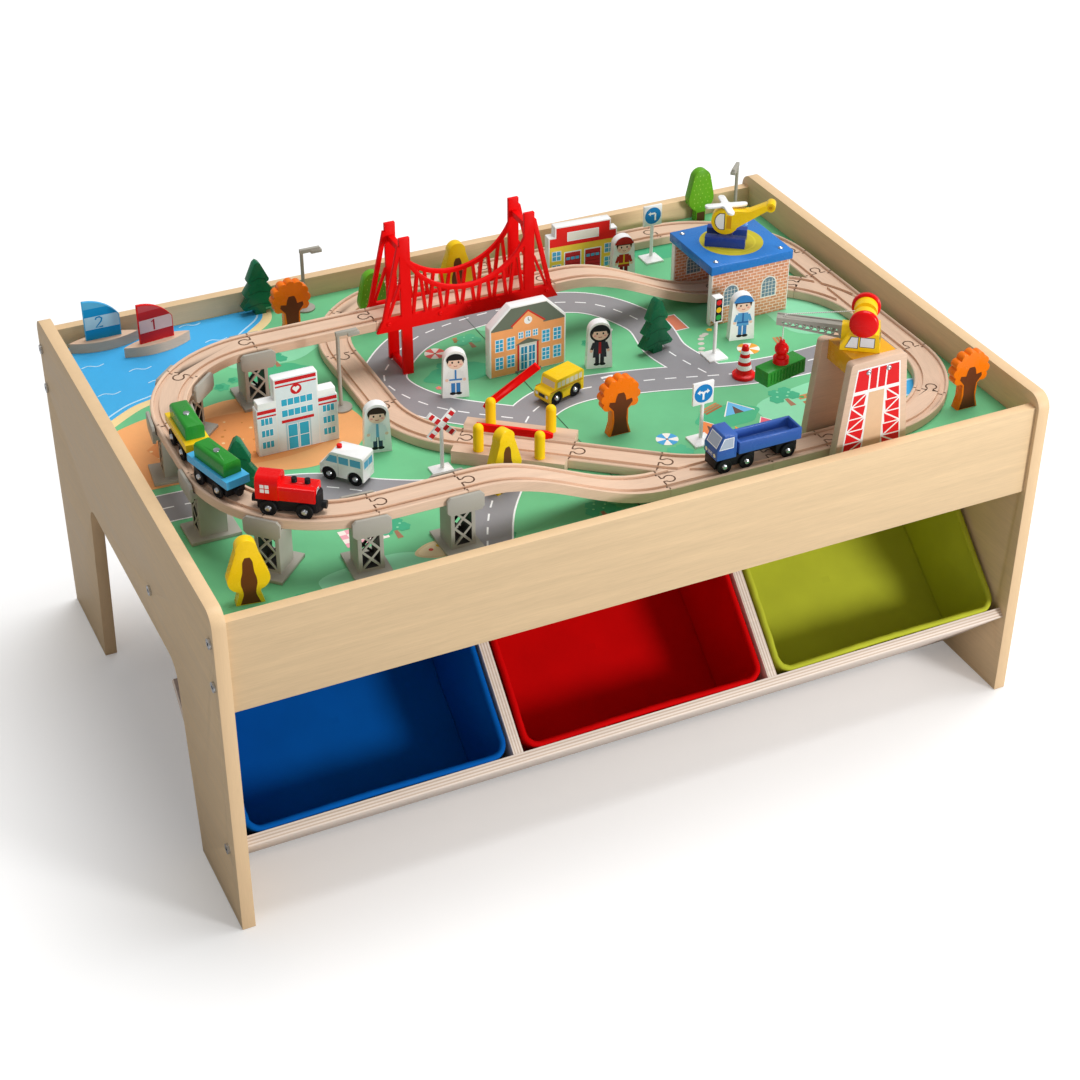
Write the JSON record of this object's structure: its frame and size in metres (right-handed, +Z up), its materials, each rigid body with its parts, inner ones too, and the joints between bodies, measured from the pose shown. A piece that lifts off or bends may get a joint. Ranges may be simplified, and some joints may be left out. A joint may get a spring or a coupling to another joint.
{
  "type": "children's train table",
  "caption": "Low play table with a sunk printed board, a two-level wooden railway with bridge, crane and toys, and tilted fabric storage bins under the front rail.",
  "frame": {"origin": "on the floor under the middle of the table", "axes": "+X along the length from the left end to the right, -Y towards the front where the bins open, +Z up"},
  "size_m": [1.005, 0.676, 0.558],
  "materials": {
    "maple_laminate": "satin melamine foil",
    "birch_plywood": "sanded, clear lacquer",
    "printed_board": "printed matt foil",
    "zinc_steel": "zinc plated",
    "blue_fabric": "non-woven cloth",
    "red_fabric": "non-woven cloth",
    "lime_fabric": "non-woven cloth",
    "beech": "sanded",
    "grey_plastic": "satin moulded",
    "red_plastic": "gloss moulded",
    "red_paint": "gloss paint",
    "black_plastic": "satin moulded",
    "black_wheel": "gloss moulded with bright hub caps",
    "sky_paint": "gloss paint",
    "yellow_paint": "gloss paint",
    "blue_paint": "gloss paint",
    "white_paint": "gloss paint and print",
    "brick_print": "printed matt foil",
    "tree_paint": "gloss paint",
    "white_cord": "braided",
    "yellow_plastic": "gloss moulded",
    "green_paint": "gloss paint"
  },
  "bodies": {
    "table": {"left_end_panel": "maple_laminate", "right_end_panel": "maple_laminate", "front_rail": "maple_laminate", "back_rail": "maple_laminate", "play_board_left": "printed_board", "play_board_right": "printed_board", "board_supports": "birch_plywood", "panel_bolts": "zinc_steel", "bin_ledge_plank": "birch_plywood", "bin_rack": "birch_plywood", "track_straights": "beech", "track_curves": "beech", "track_ramps_and_switches": "beech", "track_pillars": "grey_plastic", "level_crossing": "beech", "bridge_deck": "beech", "bridge_frame": "red_plastic", "crane_gantry": "beech", "station_walls": "brick_print", "station_roof": "blue_paint", "helicopter": "yellow_paint", "house_fronts": "white_paint", "people": "white_paint", "trees": "tree_paint", "signs_and_lamps": "grey_plastic", "sailboats": "beech"},
    "blue_bin": {"blue_bin": "blue_fabric"},
    "red_bin": {"red_bin": "red_fabric"},
    "green_bin": {"green_bin": "lime_fabric"},
    "near_barrier": {"near_barrier": "red_paint"},
    "far_barrier": {"far_barrier": "red_paint"},
    "loco": {"loco_body": "red_paint", "loco_chassis": "black_plastic"},
    "blue_wagon": {"blue_wagon_bed": "sky_paint", "blue_wagon_chassis": "black_plastic"},
    "yellow_wagon": {"yellow_wagon_bed": "yellow_paint", "yellow_wagon_chassis": "black_plastic"},
    "truck": {"truck_body": "blue_paint", "truck_chassis": "black_plastic"},
    "bus": {"bus_body": "yellow_paint"},
    "ambulance": {"ambulance_body": "white_paint"},
    "crane": {"crane_cab": "yellow_plastic", "crane_jib": "grey_plastic", "crane_cord": "white_cord"},
    "winch": {"crane_winch": "red_plastic"},
    "load": {"crane_load": "green_paint"},
    "rotor": {"helicopter_rotor": "white_paint"},
    "loco_front_axle": {"loco_front_axle": "black_wheel"},
    "loco_rear_axle": {"loco_rear_axle": "black_wheel"},
    "blue_wagon_front_axle": {"blue_wagon_front_axle": "black_wheel"},
    "blue_wagon_rear_axle": {"blue_wagon_rear_axle": "black_wheel"},
    "yellow_wagon_front_axle": {"yellow_wagon_front_axle": "black_wheel"},
    "yellow_wagon_rear_axle": {"yellow_wagon_rear_axle": "black_wheel"},
    "truck_front_axle": {"truck_front_axle": "black_wheel"},
    "truck_middle_axle": {"truck_middle_axle": "black_wheel"},
    "truck_rear_axle": {"truck_rear_axle": "black_wheel"},
    "bus_front_axle": {"bus_front_axle": "black_wheel"},
    "bus_rear_axle": {"bus_rear_axle": "black_wheel"},
    "ambulance_front_axle": {"ambulance_front_axle": "black_wheel"},
    "ambulance_rear_axle": {"ambulance_rear_axle": "black_wheel"}
  },
  "joints": [
    {"name": "blue_bin_pull", "type": "slide", "parent": "table", "child": "blue_bin", "axis": [0, -0.6947, 0.7193], "range_m": [0, 0.1]},
    {"name": "red_bin_pull", "type": "slide", "parent": "table", "child": "red_bin", "axis": [0, -0.6947, 0.7193], "range_m": [0, 0.1]},
    {"name": "green_bin_pull", "type": "slide", "parent": "table", "child": "green_bin", "axis": [0, -0.6947, 0.7193], "range_m": [0, 0.1]},
    {"name": "train_run", "type": "hinge", "parent": "table", "child": "loco", "pos_m": [-0.301, -0.131, 0.455], "axis": [0, 0, 1], "range_deg": [-7.5, 13]},
    {"name": "blue_wagon_run", "type": "hinge", "parent": "table", "child": "blue_wagon", "pos_m": [-0.301, -0.131, 0.455], "axis": [0, 0, 1], "range_deg": [-8, 13.5]},
    {"name": "yellow_wagon_run", "type": "slide", "parent": "table", "child": "yellow_wagon", "axis": [0, -1, 0], "range_m": [-0.019, 0.032]},
    {"name": "loco_front_axle_spin", "type": "hinge", "parent": "loco", "child": "loco_front_axle", "pos_m": [-0.36419, -0.2503, 0.46135], "axis": [0.5878, 0.809, 0], "range_deg": [-120, 200]},
    {"name": "loco_rear_axle_spin", "type": "hinge", "parent": "loco", "child": "loco_rear_axle", "pos_m": [-0.39493, -0.22796, 0.46135], "axis": [0.5878, 0.809, 0], "range_deg": [-120, 200]},
    {"name": "blue_wagon_front_axle_spin", "type": "hinge", "parent": "blue_wagon", "child": "blue_wagon_front_axle", "pos_m": [-0.42596, -0.18208, 0.46135], "axis": [0.9659, 0.2588, 0], "range_deg": [-120, 200]},
    {"name": "blue_wagon_rear_axle_spin", "type": "hinge", "parent": "blue_wagon", "child": "blue_wagon_rear_axle", "pos_m": [-0.43476, -0.14924, 0.46135], "axis": [0.9659, 0.2588, 0], "range_deg": [-120, 200]},
    {"name": "yellow_wagon_front_axle_spin", "type": "hinge", "parent": "yellow_wagon", "child": "yellow_wagon_front_axle", "pos_m": [-0.436, -0.099, 0.46135], "axis": [1, 0, 0], "range_deg": [-120, 200]},
    {"name": "yellow_wagon_rear_axle_spin", "type": "hinge", "parent": "yellow_wagon", "child": "yellow_wagon_rear_axle", "pos_m": [-0.436, -0.065, 0.46135], "axis": [1, 0, 0], "range_deg": [-120, 200]},
    {"name": "truck_run", "type": "slide", "parent": "table", "child": "truck", "axis": [-1, 0, 0], "range_m": [-0.1, 0.06]},
    {"name": "truck_front_axle_spin", "type": "hinge", "parent": "truck", "child": "truck_front_axle", "pos_m": [0.107, -0.266, 0.39735], "axis": [0, -1, 0], "range_deg": [-640, 390]},
    {"name": "truck_middle_axle_spin", "type": "hinge", "parent": "truck", "child": "truck_middle_axle", "pos_m": [0.135, -0.266, 0.39735], "axis": [0, -1, 0], "range_deg": [-640, 390]},
    {"name": "truck_rear_axle_spin", "type": "hinge", "parent": "truck", "child": "truck_rear_axle", "pos_m": [0.188, -0.266, 0.39735], "axis": [0, -1, 0], "range_deg": [-640, 390]},
    {"name": "bus_run", "type": "slide", "parent": "table", "child": "bus", "axis": [-0.9511, -0.309, 0], "range_m": [-0.025, 0.025]},
    {"name": "bus_front_axle_spin", "type": "hinge", "parent": "bus", "child": "bus_front_axle", "pos_m": [0.00773, -0.04263, 0.3878], "axis": [0.309, -0.9511, 0], "range_deg": [-180, 220]},
    {"name": "bus_rear_axle_spin", "type": "hinge", "parent": "bus", "child": "bus_rear_axle", "pos_m": [0.03627, -0.03336, 0.3878], "axis": [0.309, -0.9511, 0], "range_deg": [-180, 220]},
    {"name": "ambulance_run", "type": "slide", "parent": "table", "child": "ambulance", "axis": [-0.6561, 0.7547, 0], "range_m": [-0.025, 0.03]},
    {"name": "ambulance_front_axle_spin", "type": "hinge", "parent": "ambulance", "child": "ambulance_front_axle", "pos_m": [-0.2775, -0.08593, 0.3878], "axis": [-0.7547, -0.6561, 0], "range_deg": [-180, 220]},
    {"name": "ambulance_rear_axle_spin", "type": "hinge", "parent": "ambulance", "child": "ambulance_rear_axle", "pos_m": [-0.2565, -0.11008, 0.3878], "axis": [-0.7547, -0.6561, 0], "range_deg": [-180, 220]},
    {"name": "near_barrier_lift", "type": "hinge", "parent": "table", "child": "near_barrier", "pos_m": [-0.06323, -0.16752, 0.42], "axis": [0.6157, 0.788, 0], "range_deg": [0, 75]},
    {"name": "far_barrier_lift", "type": "hinge", "parent": "table", "child": "far_barrier", "pos_m": [-0.08268, -0.07872, 0.42], "axis": [-0.6157, -0.788, 0], "range_deg": [-45, 30]},
    {"name": "crane_slew", "type": "hinge", "parent": "table", "child": "crane", "pos_m": [0.283, -0.266, 0.5034], "axis": [0, 0, 1], "continuous": true},
    {"name": "crane_winch_turn", "type": "hinge", "parent": "crane", "child": "winch", "pos_m": [0.283, -0.266, 0.5394], "axis": [-0.5878, -0.809, 0], "range_deg": [-149, 560]},
    {"name": "crane_hook", "type": "slide", "parent": "crane", "child": "load", "axis": [0, 0, -1], "range_m": [-0.012, 0.045], "deforming": ["crane_cord"]},
    {"name": "rotor_spin", "type": "hinge", "parent": "table", "child": "rotor", "pos_m": [0.3135, 0.0922, 0.5095], "axis": [0, 0, 1], "continuous": true}
  ],
  "couplings": [
    {"joint": "blue_wagon_run", "follows": "train_run", "ratio": 1},
    {"joint": "yellow_wagon_run", "follows": "train_run", "m_per_rad": 0.135},
    {"joint": "loco_front_axle_spin", "follows": "train_run", "ratio": 15},
    {"joint": "loco_rear_axle_spin", "follows": "train_run", "ratio": 15},
    {"joint": "blue_wagon_front_axle_spin", "follows": "train_run", "ratio": 15},
    {"joint": "blue_wagon_rear_axle_spin", "follows": "train_run", "ratio": 15},
    {"joint": "yellow_wagon_front_axle_spin", "follows": "train_run", "ratio": 15},
    {"joint": "yellow_wagon_rear_axle_spin", "follows": "train_run", "ratio": 15},
    {"joint": "truck_front_axle_spin", "follows": "truck_run", "rad_per_m": 111.11},
    {"joint": "truck_middle_axle_spin", "follows": "truck_run", "rad_per_m": 111.11},
    {"joint": "truck_rear_axle_spin", "follows": "truck_run", "rad_per_m": 111.11},
    {"joint": "bus_front_axle_spin", "follows": "bus_run", "rad_per_m": 117.65},
    {"joint": "bus_rear_axle_spin", "follows": "bus_run", "rad_per_m": 117.65},
    {"joint": "ambulance_front_axle_spin", "follows": "ambulance_run", "rad_per_m": 117.65},
    {"joint": "ambulance_rear_axle_spin", "follows": "ambulance_run", "rad_per_m": 117.65},
    {"joint": "crane_hook", "follows": "crane_winch_turn", "m_per_rad": 0.0046}
  ]
}
